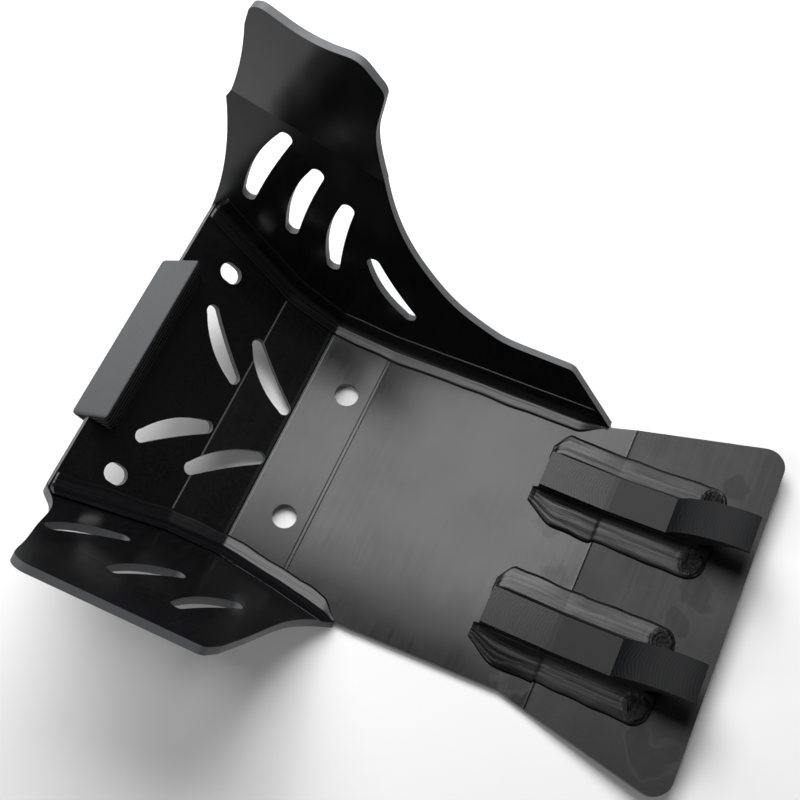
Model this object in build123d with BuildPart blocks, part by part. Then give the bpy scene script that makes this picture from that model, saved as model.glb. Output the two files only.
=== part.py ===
from build123d import *
import os
from math import cos, radians, sin, sqrt

# Motorcycle skid plate: a bent sheet tray with two welded side wings, two welded
# rear hooks and a foam pad on the front edge.
#
# Millimetres. +Y is the front of the motorcycle, +X its right side, +Z up.
# Origin: centre line of the plate, on the main panel's underside, below the bend
# between the main panel and the holed strip.

os.makedirs("parts", exist_ok=True)

# Sheet and the base plate's side profile, rear to front
sheet = 4.8
bend_radius = 5.0
main_length = 165.2
tail_length = 91.7
tail_rise = 6.7
strip_length = 41.2
strip_rise = 6.0
ramp_length = 38.6
ramp_rise = 27.0
front_length = 74.8
front_rise = 44.2

# Base plate in plan
main_half_width = 89.0
flare_start = 147.0
flare_right = 97.5
tail_right = 117.0
tail_left = 112.5
tail_corner_radius = 12.0
step_lap = 1.0

# Bolt holes in the strip and obround holes in the front panel
bolt_spacing = 90.0
bolt_hole_radius = 7.8
bolt_from_bend = 15.7
strap_spacing = 147.2
strap_from_bend = 42.8
strap_hole_width = 12.0
strap_hole_length = 15.5

# Curved lightening slots in the base
slot_chord = 44.0
slot_end_radius = 4.3
slot_outer_bulge = 3.8
slot_inner_bulge = 0.8
slot_slant = 51.4
slot_offset = 32.0
front_slot_from_bend = 23.4
ramp_slot_from_bend = 23.7

# Side wings: root is the distance from the centre line to the inner face at the
# origin, toe the turn inwards towards the front, lean the outward slope
right_root = 88.8
right_toe = 0.02
right_lean = 0.25
right_end = 148.0
left_root = 85.0
left_toe = 0.17
left_lean = 0.50
left_end = 42.0

# Right wing's horn, bent inwards along a sloping line
horn_back = 15.6
horn_base = 142.9
horn_length = 100.8
horn_slope = 17.1
horn_bend = 12.0

# Wing slots: centre along and up the wing, slant, and chord of the right one
right_slots = [
    (91.6, 122.5, -64.7, 60.5),
    (67.0, 104.3, -71.8, 54.5),
    (42.8, 85.0, -80.5, 51.5),
    (6.6, 54.9, -126.8, 43.6),
]
left_slots = [(86.4, 98.1, -117.7), (45.6, 99.8, -112.8), (9.5, 91.5, -109.9)]
left_slot_chord = 50.0
left_slot_radius = 3.8
wing_slot_radius = 4.6
wing_slot_outer = 4.0
wing_slot_inner = 1.2

# Right wing's edges, as points along and up the wing, and the horn's crown on the horn
right_front_edge = [(119.6, 118.5), (115.5, 167.0)]
right_rear_edge = [(-3.0, 96.0), (-18.0, 77.0), (-39.0, 58.5), (-60.0, 48.0), (-80.0, 43.5)]
right_rear_corner = (-115.5, 42.5)
right_corner_radius = 7.0
horn_front_edge = [(99.0, 36.0), (100.5, 64.0)]
horn_crown = [(99.5, 84.5), (64.0, 79.5), (38.0, 88.5), (19.0, 75.5), (17.0, 48.0)]
horn_crown_radii = (8.0, 60.0, 12.0, 10.0)
horn_waist = (10.0, 22.0)

# Left wing's edges, in the same way
left_front_edge = [(120.0, 85.0), (102.5, 126.0), (90.0, 163.0)]
left_top_edge = [(85.0, 179.0), (-12.5, 141.0)]
left_top_radii = (9.0, 7.0)
left_rear_edge = [(-16.5, 128.0), (-21.0, 83.0), (-28.0, 33.0)]

# Weld beads along the wings
wing_bead_base = 7.5
wing_bead_wall = 12.0

# Rear hooks: front end ahead of bend A, shoulder behind it, heel, tip and the points of
# the crest behind and above the shoulder
hook_spacing = 93.2
hook_width = 23.0
hook_height = 12.5
hook_ahead = 43.3
hook_shoulder = 37.8
hook_heel = 19.0
hook_tip = 47.0
claw_radius = 32.0
hook_crest = [(6.0, 8.2), (14.0, 14.4), (27.0, 20.6), (38.0, 23.6)]
tip_thickness = 2.3

# Weld beads beside the hooks, reaching ahead of the hook's front and behind its heel
hook_bead_width = 20.0
hook_bead_height = 8.5
hook_bead_ahead = 3.5
hook_bead_behind = 10.0
hook_bead_corner = 15.0

# Foam pad on the front edge: top and lower front corners in side view
pad_from_bend = 57.0
pad_rear_top = (113.6, 91.6)
pad_front_top = (145.1, 70.1)
pad_front_low = (137.2, 58.5)
pad_overlap = 12.0
pad_left = 53.5
pad_right = 60.0
pad_corner = 3.0

# A size larger than the whole plate, for trimming solids
beyond = 300.0


def along(start, length, rise):
    """The point that lies length further forward and up a slope."""
    return (start[0] + length * cos(radians(rise)), start[1] + length * sin(radians(rise)))


# Corners of the top face in side view, as (y, z)
bend_b = (0.0, sheet)
bend_c = along(bend_b, strip_length, strip_rise)
bend_d = along(bend_c, ramp_length, ramp_rise)
front_edge = along(bend_d, front_length, front_rise)
bend_a = (-main_length, sheet)
tail_end = along(bend_a, -tail_length, -tail_rise)

tail_y = tail_end[0]
front_y = front_edge[0] + sheet


def panel_plane(bend, rise):
    """Top face of a panel ahead of a bend: X to the right, Y up the slope."""
    return Plane(origin=(0, *bend), x_dir=(1, 0, 0), z_dir=(0, -sin(radians(rise)), cos(radians(rise))))


strip_plane = panel_plane(bend_b, strip_rise)
ramp_plane = panel_plane(bend_c, ramp_rise)
front_plane = panel_plane(bend_d, front_rise)


def wing_plane(side, root, toe, lean):
    """Inner face of a wing: X runs forward along it, Y up it, Z towards the right."""
    return Plane(origin=(side * root, 0, sheet), x_dir=(0, 1, 0), z_dir=(1, side * toe, -side * lean))


right_plane = wing_plane(1, right_root, right_toe, right_lean)
left_plane = wing_plane(-1, left_root, left_toe, left_lean)


def on_wing(plane, corner):
    """Where a corner of the side view lies on a wing's inner face, in the wing's own plane."""
    point = plane.to_local_coords(plane.intersect(Axis((0, *corner), (1, 0, 0))))
    return (point.X, point.Y)


def bent_section(rear, front):
    """Side view of the sheet, bent at its four lines, from rear to front."""
    with BuildSketch(mode=Mode.PRIVATE) as section:
        with BuildLine():
            FilletPolyline(rear, bend_a, bend_b, bend_c, bend_d, front, radius=bend_radius)
            offset(amount=sheet, side=Side.RIGHT)
        make_face()
    return section.sketch


def crescent(chord, end_radius, outer_bulge, inner_bulge):
    """A curved slot with round ends, bulging towards its own +Y."""
    half = chord / 2
    with BuildSketch(mode=Mode.PRIVATE) as slot:
        with BuildLine():
            ThreePointArc((-half, end_radius), (0, end_radius + outer_bulge), (half, end_radius))
            ThreePointArc((half, end_radius), (half + end_radius, 0), (half, -end_radius))
            ThreePointArc((half, -end_radius), (0, inner_bulge - end_radius), (-half, -end_radius))
            ThreePointArc((-half, -end_radius), (-half - end_radius, 0), (-half, end_radius))
        make_face()
    return slot.sketch


# Space below the top face and below the underside, to trim what stands on the sheet
far_tail = along(bend_a, -beyond, -tail_rise)
far_front = along(bend_d, beyond, front_rise)

with BuildPart() as below_top:
    with BuildSketch(Plane.YZ):
        with BuildLine():
            FilletPolyline(far_tail, bend_a, bend_b, bend_c, bend_d, far_front, radius=bend_radius)
            Polyline(far_front, (far_front[0], -beyond), (far_tail[0], -beyond), far_tail)
        make_face()
    extrude(amount=beyond, both=True)

with BuildPart() as below_sheet:
    add(below_top.part)
    with BuildSketch(Plane.YZ):
        add(bent_section(far_tail, far_front))
    extrude(amount=beyond, both=True, mode=Mode.SUBTRACT)

# Base plate: the bent sheet, cut to its plan outline and to the wings' inner faces
with BuildPart() as base_plate:
    with BuildSketch(Plane.YZ):
        add(bent_section(far_tail, front_edge))
    extrude(amount=beyond, both=True)

    with BuildSketch(Plane.XY) as plan:
        with BuildLine():
            Polyline(
                (right_root + right_lean * front_edge[1], front_y),
                (right_root + right_toe * right_end, step_lap - right_end),
                (flare_right, -main_length),
                (tail_right, tail_y),
                (-tail_left, tail_y),
                (-main_half_width, -flare_start),
                (-left_root - left_toe * left_end, step_lap - left_end),
                (-left_root - left_lean * front_edge[1], front_y),
                close=True,
            )
        make_face()
        fillet(plan.vertices().sort_by(Axis.Y)[:2], radius=tail_corner_radius)
    extrude(amount=beyond, both=True, mode=Mode.INTERSECT)

    for side, plane, end in ((1, right_plane, right_end), (-1, left_plane, left_end)):
        with BuildSketch(plane):
            with Locations(((beyond - end) / 2, 0)):
                Rectangle(beyond + end, 2 * beyond)
        extrude(amount=side * beyond, mode=Mode.SUBTRACT)

    # Bolt holes in the strip
    with BuildSketch(strip_plane):
        with Locations((-bolt_spacing / 2, bolt_from_bend), (bolt_spacing / 2, bolt_from_bend)):
            Circle(bolt_hole_radius)
    extrude(amount=2 * sheet, both=True, mode=Mode.SUBTRACT)

    # Obround holes and curved slots in the front panel
    with BuildSketch(front_plane):
        with Locations((-strap_spacing / 2, strap_from_bend), (strap_spacing / 2, strap_from_bend)):
            SlotOverall(strap_hole_length, strap_hole_width, rotation=90)
        with Locations(Location((slot_offset, front_slot_from_bend), slot_slant)):
            slot = add(crescent(slot_chord, slot_end_radius, slot_outer_bulge, slot_inner_bulge))
        mirror(slot, about=Plane.YZ)
    extrude(amount=2 * sheet, both=True, mode=Mode.SUBTRACT)

    # Curved slots in the ramp, whose front ends run over the bend
    with BuildSketch(ramp_plane):
        with Locations(Location((slot_offset, ramp_slot_from_bend), slot_slant)):
            slot = add(crescent(slot_chord, slot_end_radius, slot_outer_bulge, slot_inner_bulge))
        mirror(slot, about=Plane.YZ)
    extrude(amount=3 * sheet, both=True, mode=Mode.SUBTRACT)

base_plate.part.label = "base_plate"
export_step(base_plate.part, "parts/base_plate.step")

# Right wing: a tall flat sheet welded on at the right, with four curved slots. Above a
# sloping bend it turns inwards as a horn.
front_foot = (
    front_edge[0] + sheet * sin(radians(front_rise)),
    front_edge[1] - sheet * cos(radians(front_rise)),
)
horn_front = (
    horn_back + horn_length * cos(radians(horn_slope)),
    horn_base + horn_length * sin(radians(horn_slope)),
)
right_foot = on_wing(right_plane, front_foot)

with BuildSketch() as right_outline:
    with BuildLine():
        ThreePointArc(right_foot, *right_front_edge)
        Polyline(right_front_edge[-1], horn_front, (horn_back, horn_base))
        back = Spline(
            (horn_back, horn_base),
            *right_rear_edge,
            tangents=((-0.22, -1.0), (-1.0, -0.05)),
        )
        FilletPolyline(back @ 1, right_rear_corner, (-right_end, step_lap), radius=right_corner_radius)
        Polyline(
            (-right_end, step_lap),
            (-right_end, -4 * sheet),
            (right_foot[0], -4 * sheet),
            right_foot,
        )
    make_face()

bend_line = right_plane.location * Location((horn_back, horn_base, 0), (0, 0, horn_slope))
horn_plane = Plane(bend_line * Location((0, 0, 0), (-horn_bend, 0, 0)))
bend_plane = Plane(bend_line * Location((0, 0, 0), (90, 0, 0)))

with BuildPart() as right_wing:
    with BuildSketch(right_plane):
        add(right_outline.sketch)
    extrude(amount=sheet)
    add(below_sheet.part, mode=Mode.SUBTRACT)

    with BuildSketch(horn_plane):
        with BuildLine():
            ThreePointArc((horn_length, 0), *horn_front_edge)
            crown = FilletPolyline(horn_front_edge[-1], *horn_crown, radius=horn_crown_radii)
            Spline(crown @ 1, horn_waist, (0, 0), tangents=((-0.08, -1.0), (-0.5, -1.0)))
            Line((0, 0), (horn_length, 0))
        make_face()
    extrude(amount=sheet)

    with BuildSketch(bend_plane):
        Rectangle(horn_length, sheet, align=(Align.MIN, Align.MIN))
    revolve(axis=Axis(bend_plane.origin, -bend_plane.x_dir), revolution_arc=horn_bend)

    with BuildSketch(right_plane):
        for u, v, slant, chord in right_slots:
            with Locations(Location((u, v), slant)):
                add(crescent(chord, wing_slot_radius, wing_slot_outer, wing_slot_inner))
    extrude(amount=3 * sheet, both=True, mode=Mode.SUBTRACT)

right_wing.part.label = "right_wing"
export_step(right_wing.part, "parts/right_wing.step")

# Left wing: a lower flat sheet that leans further out, with three curved slots
left_foot = on_wing(left_plane, front_foot)

with BuildSketch() as left_outline:
    with BuildLine():
        front = Spline(left_foot, *left_front_edge, tangents=((-0.5, 1.0), (-0.25, 1.0)))
        FilletPolyline(front @ 1, *left_top_edge, left_rear_edge[0], radius=left_top_radii)
        Spline(*left_rear_edge, (-left_end, 0.0), tangents=((-0.12, -1.0), (-0.5, -1.0)))
        Polyline((-left_end, 0.0), (-left_end, -4 * sheet), (left_foot[0], -4 * sheet), left_foot)
    make_face()

with BuildPart() as left_wing:
    with BuildSketch(left_plane):
        add(left_outline.sketch)
        for u, v, slant in left_slots:
            with Locations(Location((u, v), slant)):
                slot = crescent(left_slot_chord, left_slot_radius, wing_slot_outer, wing_slot_inner)
                add(slot, mode=Mode.SUBTRACT)
    extrude(amount=-sheet)
    add(below_sheet.part, mode=Mode.SUBTRACT)

left_wing.part.label = "left_wing"
export_step(left_wing.part, "parts/left_wing.step")


def wing_bead(side, plane, outline, end):
    """Fillet weld in the corner between the base and a wing, no higher than the wing."""
    with BuildPart() as bead:
        with BuildLine(plane):
            corners = [on_wing(plane, corner) for corner in (front_edge, bend_d, bend_c, bend_b)]
            run = Polyline(*corners, (-end, 0))
        with BuildSketch(Plane(origin=run @ 0, x_dir=plane.z_dir, z_dir=run % 0)):
            with BuildLine():
                face = ThreePointArc(
                    (0, wing_bead_wall),
                    (-side * 0.55 * wing_bead_base, 0.45 * wing_bead_wall),
                    (-side * wing_bead_base * 1.2, -sheet),
                )
                Polyline(face @ 1, (0, -sheet), (0, wing_bead_wall))
            make_face()
        sweep(path=run, transition=Transition.RIGHT)
        add(below_top.part, mode=Mode.SUBTRACT)
        with BuildSketch(plane):
            add(outline.sketch)
        extrude(amount=-side * 4 * wing_bead_base, mode=Mode.INTERSECT)
    return bead.part


# Weld beads in the inside corners along the wings
for name, bead in (
    ("right_wing_weld", wing_bead(1, right_plane, right_outline, right_end)),
    ("left_wing_weld", wing_bead(-1, left_plane, left_outline, left_end)),
):
    bead.label = name
    export_step(bead, f"parts/{name}.step")

# Rear hooks: milled bars welded across bend A, each with a tongue that arches over the
# tail to hold a frame tube
hook_front = -main_length + hook_ahead
shoulder = along((-main_length, sheet + hook_height), -hook_shoulder, -tail_rise)
heel = along(bend_a, -hook_shoulder - hook_heel, -tail_rise)
tip_y = shoulder[0] - hook_tip
claw_top = heel[1] + sqrt(claw_radius**2 - (claw_radius - heel[0] + tip_y) ** 2)

with BuildSketch() as hook_side:
    with BuildLine():
        crest = Spline(
            shoulder,
            *[(shoulder[0] - back, shoulder[1] + up) for back, up in hook_crest],
            (tip_y, claw_top + tip_thickness),
        )
        Line(crest @ 1, (tip_y, claw_top))
        RadiusArc((tip_y, claw_top), heel, claw_radius)
        Polyline(
            heel,
            (heel[0], -sheet),
            (hook_front, -sheet),
            (hook_front, sheet + hook_height),
            (-main_length, sheet + hook_height),
            shoulder,
        )
    make_face()

for side, name in ((1, "right_hook"), (-1, "left_hook")):
    with BuildPart() as hook:
        with BuildSketch(Plane.YZ.offset(side * hook_spacing / 2)):
            add(hook_side.sketch)
        extrude(amount=hook_width / 2, both=True)
        add(below_top.part, mode=Mode.SUBTRACT)
    hook.part.label = name
    export_step(hook.part, f"parts/{name}.step")


bead_front = hook_front + hook_bead_ahead
bead_back = along(heel, -hook_bead_behind, -tail_rise)


def hook_bead(wall, outward):
    """Fillet weld beside a hook: wall is the hook's side, outward the way it spreads."""
    with BuildPart() as bead:
        with BuildLine(Plane.YZ.offset(wall)):
            run = Polyline((bead_front, sheet), bend_a, bead_back)
        with BuildSketch(Plane(origin=run @ 0, x_dir=(1, 0, 0), z_dir=run % 0)):
            with BuildLine():
                face = ThreePointArc(
                    (0, hook_bead_height),
                    (-0.55 * hook_bead_width, 0.6 * hook_bead_height),
                    (-hook_bead_width, 0),
                )
                Polyline(face @ 1, (-hook_bead_width, -sheet), (0, -sheet), (0, hook_bead_height))
            make_face()
        sweep(path=run, transition=Transition.RIGHT)
        with BuildSketch(Plane.XY) as plan:
            with Locations((wall - hook_bead_width / 2, (bead_front + bead_back[0]) / 2)):
                Rectangle(hook_bead_width, bead_front - bead_back[0])
            fillet(plan.vertices().sort_by(Axis.X)[:2], radius=hook_bead_corner)
        extrude(amount=beyond, mode=Mode.INTERSECT)
        add(below_top.part, mode=Mode.SUBTRACT)
        if outward > 0:
            mirror(about=Plane.YZ.offset(wall), mode=Mode.REPLACE)
    return bead.part


# Weld beads on both sides of each hook
for side, name in ((1, "right_hook"), (-1, "left_hook")):
    for outward, place in ((1, "right"), (-1, "left")):
        wall = (side * hook_spacing + outward * hook_width) / 2
        bead = hook_bead(wall, outward)
        bead.label = f"{name}_{place}_weld"
        export_step(bead, f"parts/{bead.label}.step")

# Foam pad: a thick block glued over the front edge, notched to take the sheet
with BuildPart() as foam_pad:
    with BuildSketch(Plane.YZ):
        with BuildLine():
            Polyline(
                along(bend_d, pad_from_bend, front_rise),
                pad_rear_top,
                pad_front_top,
                pad_front_low,
                along(front_foot, -pad_overlap, front_rise),
                front_foot,
                front_edge,
                close=True,
            )
        make_face()
    extrude(amount=beyond, both=True)
    with BuildSketch(Plane.XY) as pad:
        with Locations(((pad_right - pad_left) / 2, (pad_rear_top[0] + pad_front_top[0]) / 2)):
            RectangleRounded(pad_left + pad_right, pad_front_top[0] - pad_rear_top[0], pad_corner)
    extrude(amount=beyond, mode=Mode.INTERSECT)

foam_pad.part.label = "foam_pad"
export_step(foam_pad.part, "parts/foam_pad.step")
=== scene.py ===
from math import cos, radians, sin, tan, tau

import bmesh
import bpy
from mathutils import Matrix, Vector, noise


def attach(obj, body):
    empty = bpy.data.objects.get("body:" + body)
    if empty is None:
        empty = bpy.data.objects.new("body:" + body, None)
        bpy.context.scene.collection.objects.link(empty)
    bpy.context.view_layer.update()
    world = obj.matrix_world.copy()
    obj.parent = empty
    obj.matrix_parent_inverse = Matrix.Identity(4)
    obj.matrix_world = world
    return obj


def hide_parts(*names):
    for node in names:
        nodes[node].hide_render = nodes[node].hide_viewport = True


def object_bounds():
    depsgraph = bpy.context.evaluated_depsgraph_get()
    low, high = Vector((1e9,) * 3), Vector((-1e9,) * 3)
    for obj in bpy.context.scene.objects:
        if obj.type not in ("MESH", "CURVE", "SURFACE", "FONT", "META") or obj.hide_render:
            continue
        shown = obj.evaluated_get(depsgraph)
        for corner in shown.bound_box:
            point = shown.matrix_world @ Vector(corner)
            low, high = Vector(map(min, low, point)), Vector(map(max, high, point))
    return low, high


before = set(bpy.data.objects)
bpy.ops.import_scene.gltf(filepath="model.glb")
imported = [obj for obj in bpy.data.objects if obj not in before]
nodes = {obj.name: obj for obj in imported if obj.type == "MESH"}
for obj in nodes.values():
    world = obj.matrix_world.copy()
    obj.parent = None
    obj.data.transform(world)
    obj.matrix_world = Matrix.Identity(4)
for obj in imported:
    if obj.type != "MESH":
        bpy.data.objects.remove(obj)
cad_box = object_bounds()
scene = bpy.context.scene

# Studio: a white paper floor under one soft box, ahead of the plate and to its right,
# which the flat panels mirror and the sloping ones don't, and weak light from all round.
# The camera looks down from behind the left side with a medium lens.
CAMERA_PLACE = (-0.2071, -0.1750, 0.7200)
CAMERA_TURN = (23.07, 2.67, -65.33)
CAMERA_LENS = 54.0
SENSOR_WIDTH = 36.0
NEAR_CLIP = 0.01
SOFT_BOX_PLACE = (0.535, 0.19, 1.0)
SOFT_BOX_SIZE = (0.80, 0.80)
SOFT_BOX_WATTS = 16.8
# Two large lamps far ahead of the plate even out the floor; no visible panel mirrors them
FILL_PLACES = ((1.6, 2.0, 2.2), (-1.9, 1.5, 2.0))
FILL_SIZE = 1.6
FILL_WATTS = 22.0
ROOM_WHITE = "ffffff"
ROOM_LIGHT = 0.08
BACKDROP_LIGHT = 0.5
FLOOR_SIZE = 6.0
FLOOR_GAP = 0.0002
PAPER_WHITE = "f4f4f4"
PAPER_ROUGHNESS = 0.9


def linear(hex_colour):
    """sRGB hex colour as the linear RGBA that the shaders take."""
    channels = [int(hex_colour[i:i + 2], 16) / 255 for i in (0, 2, 4)]
    return (*[c / 12.92 if c <= 0.04045 else ((c + 0.055) / 1.055) ** 2.4 for c in channels], 1.0)


def add_node(tree, kind, inputs=(), output=0, **settings):
    """Adds a node with its settings and gives back one of its outputs.

    inputs holds a value or another node's output for each socket, in the sockets' order,
    or by name or number in a dictionary.
    """
    node = tree.nodes.new(kind)
    for name, value in settings.items():
        setattr(node, name, value)
    for socket, value in inputs.items() if isinstance(inputs, dict) else enumerate(inputs):
        if isinstance(value, bpy.types.NodeSocket):
            tree.links.new(value, node.inputs[socket])
        else:
            node.inputs[socket].default_value = value
    return node.outputs[output]


def new_material(name):
    """An empty material: the material, its node tree, its shader and its object coordinates."""
    material = bpy.data.materials.new(name)
    material.use_nodes = True
    tree = material.node_tree
    place = add_node(tree, "ShaderNodeTexCoord", output="Object")
    return material, tree, tree.nodes["Principled BSDF"], place


camera_data = bpy.data.cameras.new("camera")
camera_data.lens = CAMERA_LENS
camera_data.sensor_width = SENSOR_WIDTH
camera_data.clip_start = NEAR_CLIP
camera = bpy.data.objects.new("camera", camera_data)
camera.location = CAMERA_PLACE
camera.rotation_euler = [radians(angle) for angle in CAMERA_TURN]
scene.collection.objects.link(camera)
scene.camera = camera

soft_box_data = bpy.data.lights.new("soft_box", "AREA")
soft_box_data.shape = "RECTANGLE"
soft_box_data.size, soft_box_data.size_y = SOFT_BOX_SIZE
soft_box_data.energy = SOFT_BOX_WATTS
soft_box = bpy.data.objects.new("soft_box", soft_box_data)
soft_box.location = SOFT_BOX_PLACE
scene.collection.objects.link(soft_box)

for number, lamp_place in enumerate(FILL_PLACES):
    fill_data = bpy.data.lights.new(f"fill_{number}", "AREA")
    fill_data.shape = "SQUARE"
    fill_data.size = FILL_SIZE
    fill_data.energy = FILL_WATTS
    fill = bpy.data.objects.new(f"fill_{number}", fill_data)
    fill.location = lamp_place
    fill.rotation_euler = (-Vector(lamp_place)).to_track_quat("-Z", "Y").to_euler()
    scene.collection.objects.link(fill)

# The backdrop is light to the camera, while the weak room light falls on the plate
world = bpy.data.worlds.new("room")
world.use_nodes = True
tree = world.node_tree
backdrop = tree.nodes["Background"]
backdrop.inputs["Color"].default_value = linear(ROOM_WHITE)
seen = add_node(tree, "ShaderNodeLightPath", output="Is Camera Ray")
strength = add_node(
    tree, "ShaderNodeMath", (seen, BACKDROP_LIGHT - ROOM_LIGHT, ROOM_LIGHT), operation="MULTIPLY_ADD"
)
tree.links.new(strength, backdrop.inputs["Strength"])
scene.world = world
scene.view_settings.view_transform = "Standard"

# White studio paper, matt, so that it mirrors nothing
paper, tree, shader, place = new_material("white_studio_paper")
shader.inputs["Base Color"].default_value = linear(PAPER_WHITE)
shader.inputs["Roughness"].default_value = PAPER_ROUGHNESS
mesh = bpy.data.meshes.new("floor")
bm = bmesh.new()
bmesh.ops.create_grid(bm, x_segments=1, y_segments=1, size=FLOOR_SIZE / 2)
bm.to_mesh(mesh)
bm.free()
mesh.materials.append(paper)
floor = bpy.data.objects.new("floor", mesh)
floor.location.z = cad_box[0][2] - FLOOR_GAP
scene.collection.objects.link(floor)

# Base plate and wings: one rolled aluminium sheet, bent at four lines, and two flat sheets
# welded to its edges. They are anodised gloss black, so that the coat mirrors the studio
# softly over the mill's fine lines; the sawn rims are satin and a lighter grey, partly
# their finish and partly painted highlight where the edges catch the light.
SHEET_BLACK = "070708"
SHEET_WORN = "0d0d0e"
LINE_GREY = "1b1b1d"
STAIN_GREY = "27282b"
# Grey of the sawn rims: partly their satin finish, partly painted highlight along the edges
RIM_GREY_AND_HIGHLIGHT = "5c5d5f"
SHEET_ROUGHNESS = (0.16, 0.24)
LINE_DULLNESS = 0.02
RIM_DULLNESS = 0.35
COAT_SPECULAR = 0.28
COAT_IOR = 1.5
# The mill's lines are a tenth of a millimetre wide in life; they are drawn as coarse as they show
MILL_LINE = 0.0011
MILL_DEPTH = 0.0000035
HAZE_SPAN = 0.05
HAZE_DETAIL = 5.0
BLOT_SPAN = 0.026
BLOT_DETAIL = 2.0
LINE_DETAIL = 4.0
LINE_BREAKS = 0.6
# Most of a noise lies between these two values, which patterns stretch to their own range
NOISE_MIDDLE = (0.35, 0.65)
# A face that looks along its panel's own direction less squarely than this is a rim
RIM_FACING = 0.6
FRONT_TILT = radians(44.2)
FRONT_START = 0.058
TAIL_START = -0.1652
TAIL_DULLNESS = 0.27
# The bends' lines: dark press-brake marks with their grooves, and pale painted highlights, mostly without
# groove, where the rounded bends would catch the light: place along the plate, half width, steepness and
# tone
BEND_MARKS_AND_HIGHLIGHTS = (
    (-0.1652, 0.0006, 1.6, "010101"),
    (-0.1641, 0.0004, 0.0, "323336"),
    (-0.0009, 0.0004, 1.1, "010101"),
    (0.0002, 0.0005, 0.0, "323335"),
    (0.0013, 0.0004, 1.1, "010101"),
    (0.0405, 0.0004, 0.0, "58595b"),
    (0.0417, 0.0006, 1.6, "010101"),
    (0.0434, 0.0012, 0.0, "202122"),
    (0.07537, 0.0005, 0.10, "57585a"),
)
MARK_DEPTH = 0.22
BEND_LINE_CORE = 0.6
# Heat stains round the hooks, where the welding changed the coat: place and radius
HEAT_STAINS = (
    (0.022, -0.138, 0.012),
    (-0.012, -0.152, 0.014),
    (-0.082, -0.150, 0.015),
    (0.084, -0.232, 0.011),
    (0.010, -0.236, 0.014),
    (-0.012, -0.228, 0.011),
    (-0.086, -0.236, 0.018),
)
STAIN_LEVEL = 0.009
STAIN_WAVER = 2.6
STAIN_EDGE = (2.06, 2.20)
STAIN_RING = (1.94, 2.10)
STAIN_DULLNESS = 0.06


def drawn_noise(tree, place, spacing, stretch):
    """Noise drawn out into lines or streaks: stretch squeezes the pattern along each axis."""
    squeezed = add_node(tree, "ShaderNodeMapping", {"Vector": place, "Scale": stretch})
    pattern = {"Vector": squeezed, "Scale": 1 / spacing, "Detail": LINE_DETAIL, "Roughness": LINE_BREAKS}
    return add_node(tree, "ShaderNodeTexNoise", pattern)


def facing(tree, normal):
    """How squarely the surface faces a direction, from 0 to 1 on either side."""
    outward = add_node(tree, "ShaderNodeNewGeometry", output="True Normal")
    both = (outward, normal.normalized())
    turned = add_node(tree, "ShaderNodeVectorMath", both, output="Value", operation="DOT_PRODUCT")
    return add_node(tree, "ShaderNodeMath", (turned,), operation="ABSOLUTE")


def heat_stain(tree, place, blots, centre, radius, colour, roughness):
    """One stain with a wavering outline: duller inside, with a paler ring along its edge."""
    away = add_node(tree, "ShaderNodeVectorMath", (place, centre), output="Value", operation="DISTANCE")
    wavy = add_node(tree, "ShaderNodeMath", (blots, STAIN_WAVER * radius, away), operation="MULTIPLY_ADD")
    edge = [share * radius for share in STAIN_EDGE]
    patch = add_node(tree, "ShaderNodeMapRange", (wavy, *edge, 1.0, 0.0))
    ring_edge = [share * radius for share in STAIN_RING]
    outer = add_node(tree, "ShaderNodeMapRange", (wavy, *ring_edge, 0.0, 1.0))
    ring = add_node(tree, "ShaderNodeMath", (patch, outer), operation="MULTIPLY")
    colour = add_node(
        tree, "ShaderNodeMix", {0: ring, 6: colour, 7: linear(STAIN_GREY)}, output=2, data_type="RGBA"
    )
    roughness = add_node(
        tree, "ShaderNodeMath", (patch, STAIN_DULLNESS, roughness), operation="MULTIPLY_ADD"
    )
    return colour, roughness


def bend_mark_or_highlight(tree, y, bend_line, colour, height):
    """One line across the plate at a bend, its tone and its groove: the dark lines are press-brake marks,
    the pale ones painted highlight where the bend's rounding would catch the light.
    """
    line, width, steepness, tone = bend_line
    offset = add_node(tree, "ShaderNodeMath", (y, line), operation="SUBTRACT")
    away = add_node(tree, "ShaderNodeMath", (offset,), operation="ABSOLUTE")
    core = add_node(tree, "ShaderNodeMapRange", (away, BEND_LINE_CORE * width, width, 1.0, 0.0))
    colour = add_node(
        tree, "ShaderNodeMix", {0: core, 6: colour, 7: linear(tone)}, output=2, data_type="RGBA"
    )
    depth = MARK_DEPTH * width * steepness
    groove = add_node(
        tree, "ShaderNodeMapRange", (away, 0.0, width, -depth, 0.0), interpolation_type="SMOOTHSTEP"
    )
    return colour, add_node(tree, "ShaderNodeMath", (height, groove), operation="ADD")


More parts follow.
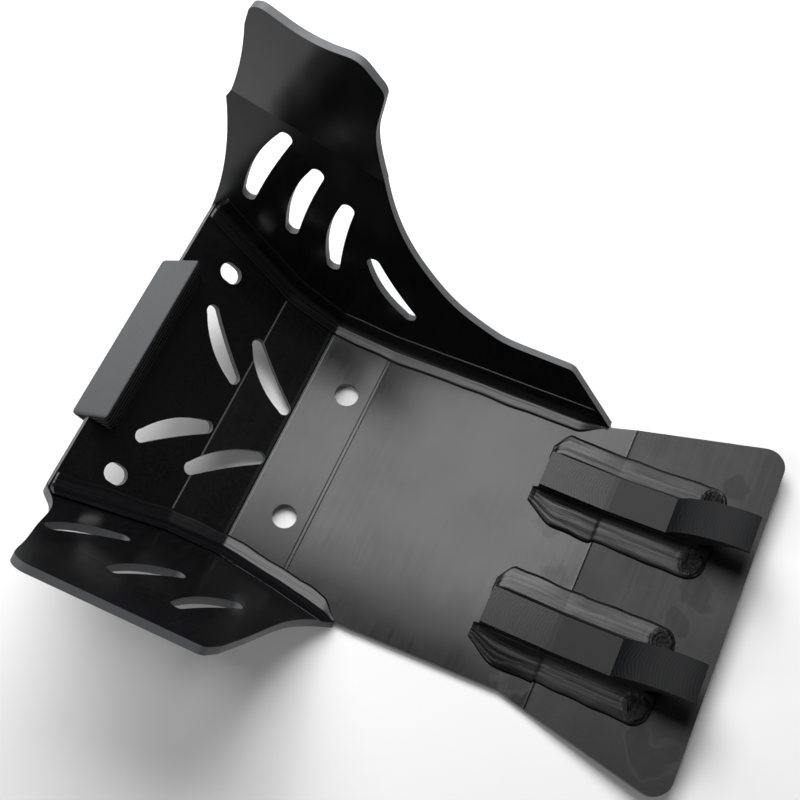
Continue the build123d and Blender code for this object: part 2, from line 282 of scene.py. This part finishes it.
def anodised_sheet(name, stretch, normals, stains=(), marks=()):
    """Black anodised sheet, glossy over fine lines; normals gives the panels' own directions."""
    material, tree, shader, place = new_material(name)
    y = add_node(tree, "ShaderNodeSeparateXYZ", (place,), output="Y")
    haze = add_node(
        tree, "ShaderNodeTexNoise", {"Vector": place, "Scale": 1 / HAZE_SPAN, "Detail": HAZE_DETAIL}
    )
    blots = add_node(
        tree, "ShaderNodeTexNoise", {"Vector": place, "Scale": 1 / BLOT_SPAN, "Detail": BLOT_DETAIL}
    )
    lines = drawn_noise(tree, place, MILL_LINE, stretch)
    across = drawn_noise(tree, place, 2 * MILL_LINE, (stretch[1], stretch[0], stretch[2]))

    worn = add_node(tree, "ShaderNodeMapRange", (haze, *NOISE_MIDDLE, 0.0, 1.0))
    colour = add_node(
        tree,
        "ShaderNodeMix",
        {0: worn, 6: linear(SHEET_BLACK), 7: linear(SHEET_WORN)},
        output=2,
        data_type="RGBA",
    )
    drawn = add_node(tree, "ShaderNodeMapRange", (lines, *NOISE_MIDDLE, 0.0, 0.5))
    colour = add_node(
        tree, "ShaderNodeMix", {0: drawn, 6: colour, 7: linear(LINE_GREY)}, output=2, data_type="RGBA"
    )
    roughness = add_node(tree, "ShaderNodeMapRange", (haze, *NOISE_MIDDLE, *SHEET_ROUGHNESS))
    height = add_node(tree, "ShaderNodeMath", (across, 0.5, lines), operation="MULTIPLY_ADD")
    height = add_node(tree, "ShaderNodeMath", (height, MILL_DEPTH), operation="MULTIPLY")

    for stain_x, stain_y, radius in stains:
        centre = (stain_x, stain_y, STAIN_LEVEL)
        colour, roughness = heat_stain(tree, place, blots, centre, radius, colour, roughness)
    # Bend lines: dark press-brake marks, and pale painted highlights along the bends
    for bend_line in marks:
        colour, height = bend_mark_or_highlight(tree, y, bend_line, colour, height)
    if marks:
        tail = add_node(tree, "ShaderNodeMath", (y, TAIL_START), operation="LESS_THAN")
        roughness = add_node(
            tree, "ShaderNodeMath", (tail, TAIL_DULLNESS, roughness), operation="MULTIPLY_ADD"
        )
    uneven = add_node(tree, "ShaderNodeMapRange", (across, *NOISE_MIDDLE, -1.0, 1.0))
    roughness = add_node(
        tree, "ShaderNodeMath", (uneven, LINE_DULLNESS, roughness), operation="MULTIPLY_ADD"
    )

    face = facing(tree, normals[0])
    if len(normals) > 1:
        front = add_node(tree, "ShaderNodeMath", (y, FRONT_START), operation="GREATER_THAN")
        face = add_node(tree, "ShaderNodeMix", {0: front, 2: face, 3: facing(tree, normals[1])})
    # Rims get the satin roughness and a lighter grey that is partly painted highlight
    rim_with_highlight = add_node(tree, "ShaderNodeMath", (face, RIM_FACING), operation="LESS_THAN")
    colour = add_node(
        tree, "ShaderNodeMix", {0: rim_with_highlight, 6: colour, 7: linear(RIM_GREY_AND_HIGHLIGHT)}, output=2, data_type="RGBA"
    )
    roughness = add_node(tree, "ShaderNodeMath", (rim_with_highlight, RIM_DULLNESS, roughness), operation="MULTIPLY_ADD")
    bump = add_node(tree, "ShaderNodeBump", {"Height": height, "Strength": 1.0, "Distance": 1.0})
    tree.links.new(colour, shader.inputs["Base Color"])
    tree.links.new(roughness, shader.inputs["Roughness"])
    tree.links.new(bump, shader.inputs["Normal"])
    shader.inputs["IOR"].default_value = COAT_IOR
    shader.inputs["Specular IOR Level"].default_value = COAT_SPECULAR
    return material


flat_normal = Vector((0, 0, 1))
front_normal = Vector((0, -sin(FRONT_TILT), cos(FRONT_TILT)))
right_normal = Vector((1.0, 0.02, -0.25))
left_normal = Vector((1.0, -0.17, 0.50))
base_coat = anodised_sheet(
    "gloss_black_anodised_rolled_sheet",
    (1.0, 0.03, 1.0),
    (flat_normal, front_normal),
    HEAT_STAINS,
    BEND_MARKS_AND_HIGHLIGHTS,
)
right_coat = anodised_sheet("gloss_black_anodised_right_wing", (0.2, 1.0, 0.04), (right_normal,))
left_coat = anodised_sheet("gloss_black_anodised_left_wing", (0.1, 1.0, 0.04), (left_normal,))
for name, coat in (("base_plate", base_coat), ("right_wing", right_coat), ("left_wing", left_coat)):
    nodes[name].material_slots[0].material = coat

# Rear hooks: two bars milled from solid aluminium and anodised with the plate. The end
# mill leaves a row of shallow arcs across each face it cut, so that the black coat looks
# finely combed, and it is duller where the bar curves back over the tail flap.
BAR_BLACK = "08080a"
BAR_MARK = "1d1e20"
# In life the mill steps some tenths of a millimetre; the arcs are drawn as coarse as they show
MILL_STEP = 0.0019
FINE_STEP = 0.31 * MILL_STEP
MILL_RADIUS = 0.019
MILL_WANDER = 1.6 * MILL_STEP
MILL_RELIEF = 0.000009
MARK_RANGE = (-0.6, 0.8)
GRAIN_SPAN = 0.006
HOOK_CENTRE = 0.0466
BAR_SPECULAR = 0.68 * COAT_SPECULAR
BAR_ROUGHNESS = (0.25, 0.33)
# How much duller the bar gets towards its rear: place along the plate and extra roughness
REAR_DULLNESS = ((-0.163, 0.0), (-0.167, 0.21), (-0.205, 0.20), (-0.215, 0.36), (-0.250, 0.40))

bar_coat, tree, shader, place = new_material("black_anodised_milled_aluminium")
x = add_node(tree, "ShaderNodeSeparateXYZ", (place,), output="X")
y = add_node(tree, "ShaderNodeSeparateXYZ", (place,), output="Y")
grain = drawn_noise(tree, place, GRAIN_SPAN, (1.0, 0.5, 1.0))
side_x = add_node(tree, "ShaderNodeMath", (x,), operation="ABSOLUTE")
from_middle = add_node(tree, "ShaderNodeMath", (side_x, HOOK_CENTRE), operation="SUBTRACT")
squared = add_node(tree, "ShaderNodeMath", (from_middle, from_middle), operation="MULTIPLY")
bow = add_node(tree, "ShaderNodeMath", (squared, 0.5 / MILL_RADIUS, y), operation="MULTIPLY_ADD")
bow = add_node(tree, "ShaderNodeMath", (grain, MILL_WANDER, bow), operation="MULTIPLY_ADD")
turn = add_node(tree, "ShaderNodeMath", (bow, tau / MILL_STEP), operation="MULTIPLY")
arcs = add_node(tree, "ShaderNodeMath", (turn,), operation="SINE")
fine_turn = add_node(tree, "ShaderNodeMath", (bow, tau / FINE_STEP), operation="MULTIPLY")
fine_arcs = add_node(tree, "ShaderNodeMath", (fine_turn,), operation="SINE")
both = add_node(tree, "ShaderNodeMath", (fine_arcs, 0.5, arcs), operation="MULTIPLY_ADD")
marks = add_node(tree, "ShaderNodeMath", (both, grain), operation="MULTIPLY")
marked = add_node(tree, "ShaderNodeMapRange", (marks, *MARK_RANGE, 0.0, 1.0))
tone = add_node(
    tree,
    "ShaderNodeMix",
    {0: marked, 6: linear(BAR_BLACK), 7: linear(BAR_MARK)},
    output=2,
    data_type="RGBA",
)
dull = add_node(tree, "ShaderNodeMapRange", (marks, *MARK_RANGE, *BAR_ROUGHNESS))
for (start, low), (end, high) in zip(REAR_DULLNESS, REAR_DULLNESS[1:]):
    more = add_node(tree, "ShaderNodeMapRange", (y, start, end, 0.0, high - low))
    dull = add_node(tree, "ShaderNodeMath", (dull, more), operation="ADD")
height = add_node(tree, "ShaderNodeMath", (marks, MILL_RELIEF), operation="MULTIPLY")
bump = add_node(tree, "ShaderNodeBump", {"Height": height, "Strength": 1.0, "Distance": 1.0})
tree.links.new(tone, shader.inputs["Base Color"])
tree.links.new(dull, shader.inputs["Roughness"])
tree.links.new(bump, shader.inputs["Normal"])
shader.inputs["IOR"].default_value = COAT_IOR
shader.inputs["Specular IOR Level"].default_value = BAR_SPECULAR
for name in ("right_hook", "left_hook"):
    nodes[name].material_slots[0].material = bar_coat

# Hook weld beads: aluminium filler laid by hand along both sides of each hook, in two
# passes, and anodised with the plate. The drawn puddle leaves long ridges, a step where
# the second pass starts and a crater where the torch was lifted.
BEAD_BLACK = "08080a"
BEAD_GREY = "161618"
CRATER_BLACK = "060607"
BEAD_SPECULAR = 1.12 * COAT_SPECULAR
BEAD_ROUGHNESS = (0.20, 0.36)
STREAK_WIDTH = 0.0016
HOOK_STREAK_RELIEF = 0.00020
# The second pass starts this far from the bead's rear end and is duller
SECOND_PASS = (0.055, 0.080)
SECOND_PASS_DULLNESS = 0.13
BURNT_EDGE = (0.0050, 0.0075)
BURNT_DULLNESS = 0.15
PITS_PER_METRE = 550.0
PIT_DETAIL = 3.0
PIT_RELIEF = 0.0019
BEAD_ACROSS = 22
BEAD_ALONG = 150
UNDERSIDE = 0.06
BEND_A = TAIL_START
TAIL_SLOPE = 0.1175
SHEET = 0.0048
HOOK_HALF = 0.0115
BEAD_WIDTH = 0.0195
BEAD_HEIGHT = 0.0088
BEAD_PAD = 0.0030
HOOK_BEAD_REACH = 0.30
# For the bead on each side of a hook: its front end and how far that end tapers
BEAD_FRONTS = {1: (-0.1205, 0.012), -1: (-0.1184, 0.030)}
# The same for the second pass: its start along the bead and how much smaller it begins
BEAD_STEPS = {1: (0.47, 0.020), -1: (0.39, 0.090)}
STEP_LENGTH = 0.02
STEP_RECOVERY = 0.35
BEAD_BACK = -0.2318
BACK_ROUND = 0.010
NOSE_ROUND = 0.006
NOSE_PAD_ROUND = 0.004
WIDTH_WAVER = 0.06
# Ridges: waves across and along the bead and their share of the height
COARSE_RIDGES = (7.0, 1.6, 1.2)
FINE_RIDGES = (21.0, 4.0, 0.7)
HOOK_RIDGE_HEIGHT = 0.00016
TOE_START = 0.85
CRATER_INSET = 0.0085
CRATER_RADIUS = 0.0052
CRATER_AWAY = 0.48 * BEAD_WIDTH
CRATER_ON_MAP = (0.0115, CRATER_INSET, 0.0)
CRATER_RIM = 0.0002
CRATER_DEPTH = 0.0017
CRATER_RIPPLE = 0.00016
RIPPLES = 12.0
LUMP_HEIGHT = 0.0012
LUMPS_PER_METRE = 700.0


def weld_coat(name, stretch, relief, crater=None):
    """Black anodised weld metal with long streaks, satin where the sheet is glossy.

    Its pattern follows the bead's own map of metres across and along; crater is the place
    of the burnt end on that map.
    """
    material, tree, shader, place = new_material(name)
    run = add_node(tree, "ShaderNodeUVMap", uv_map="run")
    streaks = drawn_noise(tree, run, STREAK_WIDTH, stretch)
    pale = add_node(tree, "ShaderNodeMapRange", (streaks, *NOISE_MIDDLE, 0.0, 1.0))
    tone = add_node(
        tree,
        "ShaderNodeMix",
        {0: pale, 6: linear(BEAD_BLACK), 7: linear(BEAD_GREY)},
        output=2,
        data_type="RGBA",
    )
    roughness = add_node(tree, "ShaderNodeMapRange", (streaks, *NOISE_MIDDLE, *BEAD_ROUGHNESS))
    height = add_node(tree, "ShaderNodeMath", (streaks, relief), operation="MULTIPLY")
    if crater:
        from_rear = add_node(tree, "ShaderNodeSeparateXYZ", (run,), output="Y")
        duller = add_node(
            tree, "ShaderNodeMapRange", (from_rear, *SECOND_PASS, SECOND_PASS_DULLNESS, 0.0)
        )
        roughness = add_node(tree, "ShaderNodeMath", (roughness, duller), operation="ADD")
        away = add_node(tree, "ShaderNodeVectorMath", (run, crater), output="Value", operation="DISTANCE")
        burnt = add_node(tree, "ShaderNodeMapRange", (away, *BURNT_EDGE, 1.0, 0.0))
        tone = add_node(
            tree, "ShaderNodeMix", {0: burnt, 6: tone, 7: linear(CRATER_BLACK)}, output=2, data_type="RGBA"
        )
        roughness = add_node(
            tree, "ShaderNodeMath", (burnt, BURNT_DULLNESS, roughness), operation="MULTIPLY_ADD"
        )
        pits = add_node(
            tree, "ShaderNodeTexNoise", {"Vector": place, "Scale": PITS_PER_METRE, "Detail": PIT_DETAIL}
        )
        pitted = add_node(tree, "ShaderNodeMath", (burnt, pits), operation="MULTIPLY")
        height = add_node(tree, "ShaderNodeMath", (pitted, PIT_RELIEF, height), operation="MULTIPLY_ADD")
    bump = add_node(tree, "ShaderNodeBump", {"Height": height, "Strength": 1.0, "Distance": 1.0})
    tree.links.new(tone, shader.inputs["Base Color"])
    tree.links.new(roughness, shader.inputs["Roughness"])
    tree.links.new(bump, shader.inputs["Normal"])
    shader.inputs["IOR"].default_value = COAT_IOR
    shader.inputs["Specular IOR Level"].default_value = BEAD_SPECULAR
    return material


def ease(value):
    """0 to 1 with a soft start and end, clamped."""
    value = min(1.0, max(0.0, value))
    return value * value * (3 - 2 * value)


def waver(seed, along, other):
    """A slow random change along a bead, from about -1 to 1."""
    return noise.noise(Vector((seed, along, other)))


def ridges(across, along, seed):
    """Height of the long drawn ridges, from about -1 to 1, which fade out at the bead's edges."""
    total = 0.0
    for number, (waves_across, waves_along, share) in enumerate((COARSE_RIDGES, FINE_RIDGES)):
        spot = Vector((waves_across * across, waves_along * along, seed + 5.0 * number))
        total += share * noise.noise(spot)
    return total * ease(6 * (1 - across)) * ease(5 * across)


def fillet(across, wide, tall, pad, reach):
    """Distance from the wall and height of a bead's skin: a slope, a low pad and a round toe.

    reach is the share of the width that the slope takes.
    """
    share = 0.30 + 0.5 * reach
    if across < share:
        down = across / share
        return reach * wide * down ** 1.5, pad + (tall - pad) * (1 - down) ** 1.9
    out = (across - share) / (1 - share)
    toe = max(0.0, (out - TOE_START) / (1 - TOE_START))
    return wide * (reach + (1 - reach) * out), pad * (1 - 0.45 * out) * max(0.0, 1 - toe * toe) ** 0.5


def bead_piece(name, node, material, span, shape):
    """A closed bead: a grid pulled into shape, with its underside drawn into the joint.

    shape takes a place across and along the bead, from 0 to 1 each, and returns the
    point of the skin and the point of the joint below it. span is its width and length.
    """
    bm = bmesh.new()
    bmesh.ops.create_grid(bm, x_segments=BEAD_ACROSS, y_segments=BEAD_ALONG, size=0.5)
    grown = bmesh.ops.extrude_face_region(bm, geom=bm.faces[:])["geom"]
    under = {v for v in grown if isinstance(v, bmesh.types.BMVert)}
    run = bm.loops.layers.uv.new("run")
    for face in bm.faces:
        for loop in face.loops:
            across, along = loop.vert.co.x + 0.5, loop.vert.co.y + 0.5
            loop[run].uv = (across * span[0], (1 - along) * span[1])
    for vert in bm.verts:
        point, root = shape(vert.co.x + 0.5, vert.co.y + 0.5)
        vert.co = root.lerp(point, UNDERSIDE) if vert in under else point
    bmesh.ops.recalc_face_normals(bm, faces=bm.faces)
    mesh = bpy.data.meshes.new(name)
    bm.to_mesh(mesh)
    bm.free()
    mesh.materials.append(material)
    mesh.shade_smooth()
    piece = bpy.data.objects.new(name, mesh)
    scene.collection.objects.link(piece)
    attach(piece, "root")
    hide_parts(node)


def hook_bead_shape(wall, outward, seed):
    """Shape of the bead beside one wall of a hook."""
    front, nose = BEAD_FRONTS[outward]
    step_at, step_drop = BEAD_STEPS[outward]

    def shape(across, along):
        y = front + along * (BEAD_BACK - front)
        ground = SHEET + max(0.0, BEND_A - y) * TAIL_SLOPE
        opening = ease(0.3 + (front - y) / nose)
        back = (1 - (1 - min(1.0, (y - BEAD_BACK) / BACK_ROUND)) ** 2) ** 0.5
        past_step = along - step_at
        dip = ease(past_step / STEP_LENGTH) - ease((past_step - STEP_LENGTH) / STEP_RECOVERY)
        step = 1.0 - step_drop * dip
        wide = BEAD_WIDTH * (0.30 + 0.70 * opening) * (0.45 + 0.55 * back) * step
        wide *= 1 + WIDTH_WAVER * waver(seed, 7.0 * along, 2.0)
        tall = BEAD_HEIGHT * (0.5 + 0.5 * ease((front - y) / NOSE_ROUND)) * (0.5 + 0.5 * back)
        pad = BEAD_PAD * step * (0.5 + 0.5 * ease((front - y) / NOSE_PAD_ROUND)) * (0.5 + 0.5 * back)
        away, lift = fillet(across, wide, tall, pad, HOOK_BEAD_REACH)
        lift += HOOK_RIDGE_HEIGHT * ridges(across, along, seed)
        crater = Vector((away - CRATER_AWAY, y - BEAD_BACK - CRATER_INSET)).length / CRATER_RADIUS
        lift += CRATER_RIM * ease(2.0 - crater) - CRATER_DEPTH * ease(1.35 - crater)
        lift += CRATER_RIPPLE * sin(RIPPLES * crater) * ease(2.4 - crater)
        lumps = waver(LUMPS_PER_METRE * away, LUMPS_PER_METRE * y, seed)
        lift += LUMP_HEIGHT * lumps * ease(1.9 - crater)
        return Vector((wall + outward * away, y, ground + max(0.0, lift))), Vector((wall, y, ground))

    return shape


hook_bead_coat = weld_coat(
    "black_anodised_hook_weld", (1.0, 0.045, 1.0), HOOK_STREAK_RELIEF, CRATER_ON_MAP
)
for side, hook in ((1, "right_hook"), (-1, "left_hook")):
    for outward, place_word in ((1, "right"), (-1, "left")):
        node = f"{hook}_{place_word}_weld"
        wall = side * HOOK_CENTRE + outward * HOOK_HALF
        seed = 3.0 * side + outward + 11.0
        span = (BEAD_WIDTH, BEAD_FRONTS[outward][0] - BEAD_BACK)
        bead_piece(f"{node}_bead", node, hook_bead_coat, span, hook_bead_shape(wall, outward, seed))

# Wing weld beads: one long fillet of aluminium filler in the corner between the base and
# each wing, laid flat and smooth in one pass. It follows the base's bends and runs out to
# a point at the wing's rear end.
# The base's bends: place along the plate, and the rise of the panel that ends there
BENDS = (
    (BEND_A, 0.0),
    (0.0, 0.0),
    (0.04097, radians(6.0)),
    (0.07537, radians(27.0)),
    (0.12903, FRONT_TILT),
)
WING_STREAK_RELIEF = 0.00004
WING_RIDGE_HEIGHT = 0.00007
WING_BEAD_BASE = 0.0102
WING_BEAD_WALL = 0.0130
WING_BEAD_PAD = 0.0015
WING_BEAD_REACH = 0.36
WING_BEAD_MIN_PAD = 0.0002
WING_BEAD_MIN_WALL = 0.0006
WING_BEAD_FRONT = 0.1285
BASE_WAVER = 0.16
WALL_WAVER = 0.05
REAR_TAPER = 0.07
# The bead rounds each bend over this length, at these shares of it
BEND_BLEND = 0.024
BLEND_STOPS = (-0.5, -0.25, 0.0, 0.25, 0.5)


def base_top(y):
    """Height and slope of the base's top face."""
    height, slope = SHEET, 0.0
    for (start, _), (end, rise) in zip(BENDS, BENDS[1:]):
        height += min(max(0.0, y - start), end - start) * tan(rise)
        slope = rise if y > start else slope
    return height, slope


def wing_bead_shape(side, root, toe, lean, back, end_rise, seed):
    """Shape of the bead along one wing.

    root, toe and lean place the wing's inner face as in the part's source: its distance
    from the middle, and how that changes along and up. back is the bead's rear end, and
    end_rise how steeply the wing's lower corner climbs from there.
    """

    def shape(across, along):
        y = WING_BEAD_FRONT + along * (back - WING_BEAD_FRONT)
        height = base_top(y)[0]
        slopes = [base_top(y + stop * BEND_BLEND)[1] for stop in BLEND_STOPS]
        slope = sum(slopes) / len(slopes)
        joint = Vector((side * (root - toe * y + lean * (height - SHEET)), y, height))
        inward = Vector((-side, 0.0, 0.0))
        upward = Vector((side * lean * cos(slope), -sin(slope), cos(slope))).normalized()
        taper = ease((1 - along) / REAR_TAPER)
        wide = WING_BEAD_BASE * (0.15 + 0.85 * taper) * (1 + BASE_WAVER * waver(seed, 11.0 * along, 0.0))
        tall = min(WING_BEAD_WALL, WING_BEAD_MIN_WALL + end_rise * (y - back))
        tall *= 1 + WALL_WAVER * waver(seed, 8.0 * along, 4.0)
        pad = WING_BEAD_PAD * taper + WING_BEAD_MIN_PAD
        away, lift = fillet(across, wide, tall, pad, WING_BEAD_REACH)
        lift += WING_RIDGE_HEIGHT * ridges(across, 2.5 * along, seed)
        return joint + inward * away + upward * max(0.0, lift), joint

    return shape


wing_bead_coat = weld_coat("black_anodised_wing_weld", (0.5, 0.010, 1.0), WING_STREAK_RELIEF)
right_bead = wing_bead_shape(
    side=1, root=0.0888, toe=0.02, lean=0.25, back=-0.1475, end_rise=1.25, seed=2.0
)
left_bead = wing_bead_shape(
    side=-1, root=0.0850, toe=0.17, lean=0.50, back=-0.0418, end_rise=2.2, seed=8.0
)
bead_piece("right_wing_weld_bead", "right_wing_weld", wing_bead_coat, (0.018, 0.30), right_bead)
bead_piece("left_wing_weld_bead", "left_wing_weld", wing_bead_coat, (0.018, 0.20), left_bead)

# Foam pad: a block of grey closed-cell foam glued over the front edge. It is cut from
# laminated sheet, so its cut sides show the layers, and its edges are slightly rounded.
FOAM_GREY = "595a5c"
FOAM_PORE = "535456"
LAYER_GREY = "66676a"
LAYER_DARK = "161719"
FOAM_ROUGHNESS = 0.85
FOAM_IOR = 1.45
FOAM_LAYER = 0.0036
LAYER_EDGE = (0.55, 0.8)
# The top layer is whole, and the cut layers start below it
TOP_LAYER = (0.0022, 0.0008)
# The foam's cells are some tenths of a millimetre wide in life and are drawn coarser
CELLS_PER_METRE = 900.0
CELL_DETAIL = 3.0
CELL_RELIEF = 0.0003
CELL_STRENGTH = 0.25
PAD_REAR_TOP = (0.1136, 0.0916)
PAD_FRONT_TOP = (0.1451, 0.0701)
PAD_FRONT_LOW = (0.1372, 0.0585)
PAD_NOTCH = ((0.12379, 0.06697), (0.13238, 0.07534), (0.12903, 0.07878), (0.11626, 0.06637))
PAD_ENDS = (-0.0535, 0.0600)
PAD_ROUND = 0.0024

# Matt grey foam: pores on the outside, and lighter and darker layers where it was cut
foam, tree, shader, place = new_material("grey_laminated_closed_cell_foam")
slope = (Vector(PAD_FRONT_TOP) - Vector(PAD_REAR_TOP)).normalized()
top_depth = Vector(PAD_REAR_TOP).dot(Vector((-slope.y, slope.x)))
depth = add_node(
    tree,
    "ShaderNodeVectorMath",
    (place, (0.0, -slope.y, slope.x)),
    output="Value",
    operation="DOT_PRODUCT",
)
cells = add_node(
    tree, "ShaderNodeTexNoise", {"Vector": place, "Scale": CELLS_PER_METRE, "Detail": CELL_DETAIL}
)
layer = add_node(tree, "ShaderNodeMath", (depth, 1 / FOAM_LAYER), operation="MULTIPLY")
layer = add_node(tree, "ShaderNodeMath", (layer,), operation="FRACT")
layered = add_node(tree, "ShaderNodeMapRange", (layer, *LAYER_EDGE, 0.0, 1.0))
cut_tone = add_node(
    tree,
    "ShaderNodeMix",
    {0: layered, 6: linear(LAYER_DARK), 7: linear(LAYER_GREY)},
    output=2,
    data_type="RGBA",
)
porous = add_node(tree, "ShaderNodeMapRange", (cells, *NOISE_MIDDLE, 0.0, 1.0))
skin_tone = add_node(
    tree,
    "ShaderNodeMix",
    {0: porous, 6: linear(FOAM_PORE), 7: linear(FOAM_GREY)},
    output=2,
    data_type="RGBA",
)
below_top = [top_depth - layer_depth for layer_depth in TOP_LAYER]
inside = add_node(tree, "ShaderNodeMapRange", (depth, *below_top, 1.0, 0.0))
tone = add_node(
    tree, "ShaderNodeMix", {0: inside, 6: skin_tone, 7: cut_tone}, output=2, data_type="RGBA"
)
bump = add_node(
    tree, "ShaderNodeBump", {"Height": cells, "Strength": CELL_STRENGTH, "Distance": CELL_RELIEF}
)
tree.links.new(tone, shader.inputs["Base Color"])
tree.links.new(bump, shader.inputs["Normal"])
shader.inputs["Roughness"].default_value = FOAM_ROUGHNESS
shader.inputs["IOR"].default_value = FOAM_IOR

# The block is its end outline drawn out along the edge, with every edge outside the notch rounded
bm = bmesh.new()
corners = (PAD_REAR_TOP, PAD_FRONT_TOP, PAD_FRONT_LOW, *PAD_NOTCH)
end_face = bm.faces.new([bm.verts.new((PAD_ENDS[0], y, z)) for y, z in corners])
grown = bmesh.ops.extrude_face_region(bm, geom=[end_face])["geom"]
bmesh.ops.translate(
    bm,
    verts=[v for v in grown if isinstance(v, bmesh.types.BMVert)],
    vec=(PAD_ENDS[1] - PAD_ENDS[0], 0, 0),
)
bmesh.ops.recalc_face_normals(bm, faces=bm.faces)
outer = [
    edge
    for edge in bm.edges
    if not all(tuple(round(c, 5) for c in v.co[1:]) in PAD_NOTCH for v in edge.verts)
]
bmesh.ops.bevel(
    bm, geom=outer, offset=PAD_ROUND, segments=3, affect="EDGES", profile=0.5, material=-1
)
mesh = bpy.data.meshes.new("foam_block")
bm.to_mesh(mesh)
bm.free()
mesh.materials.append(foam)
mesh.shade_smooth()
pad = bpy.data.objects.new("foam_block", mesh)
scene.collection.objects.link(pad)
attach(pad, "root")
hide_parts("foam_pad")
